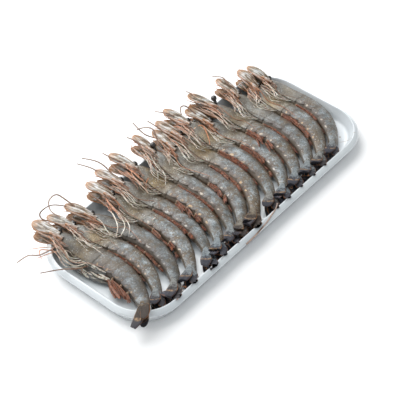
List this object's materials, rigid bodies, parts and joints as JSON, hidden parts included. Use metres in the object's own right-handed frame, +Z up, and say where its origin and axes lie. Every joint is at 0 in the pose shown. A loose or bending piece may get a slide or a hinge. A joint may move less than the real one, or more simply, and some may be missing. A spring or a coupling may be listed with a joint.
{
  "type": "dish of raw prawns",
  "caption": "White oblong serving dish holding a row of whole raw prawns, heads over the far rim and tails over the near rim.",
  "frame": {"origin": "middle of the dish's flat underside", "axes": "+X along the dish towards the last prawn, +Y across the dish towards the heads, +Z up"},
  "size_m": [0.3792, 0.1921, 0.036],
  "materials": {
    "dish_glaze": "glossy",
    "raw_prawn": "wet"
  },
  "bodies": {
    "root": {"dish": "dish_glaze", "prawn_01": "raw_prawn", "prawn_02": "raw_prawn", "prawn_03": "raw_prawn", "prawn_04": "raw_prawn", "prawn_05": "raw_prawn", "prawn_06": "raw_prawn", "prawn_07": "raw_prawn", "prawn_08": "raw_prawn", "prawn_09": "raw_prawn", "prawn_10": "raw_prawn", "prawn_11": "raw_prawn", "prawn_12": "raw_prawn", "prawn_13": "raw_prawn", "prawn_14": "raw_prawn", "prawn_15": "raw_prawn"}
  },
  "joints": []
}
